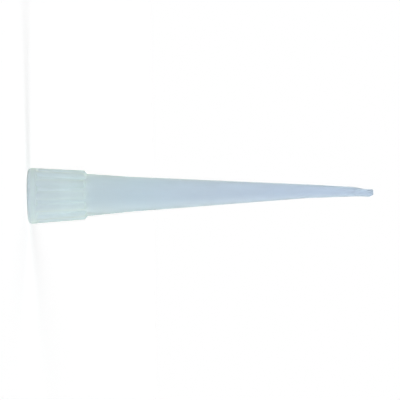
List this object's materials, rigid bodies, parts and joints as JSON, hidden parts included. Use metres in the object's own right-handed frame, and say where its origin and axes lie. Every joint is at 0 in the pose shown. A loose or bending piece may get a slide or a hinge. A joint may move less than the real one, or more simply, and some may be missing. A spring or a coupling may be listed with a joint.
{
  "type": "pipette tip",
  "caption": "Slender hollow cone that draws up and delivers small volumes of liquid, with a ribbed collar whose seat grips the nozzle of a hand pipette.",
  "frame": {"origin": "centre of the mouth, in the plane of the rim that the tip stands on", "axes": "+Z along the tip, from the mouth to the point; the nose of the point turns towards +X; one rib of the collar faces -Y"},
  "size_m": [0.0082, 0.0082, 0.0506],
  "materials": {
    "natural_polypropylene": "milky translucent, as moulded, with a soft sheen"
  },
  "bodies": {
    "root": {"pipette_tip": "natural_polypropylene"}
  },
  "joints": []
}
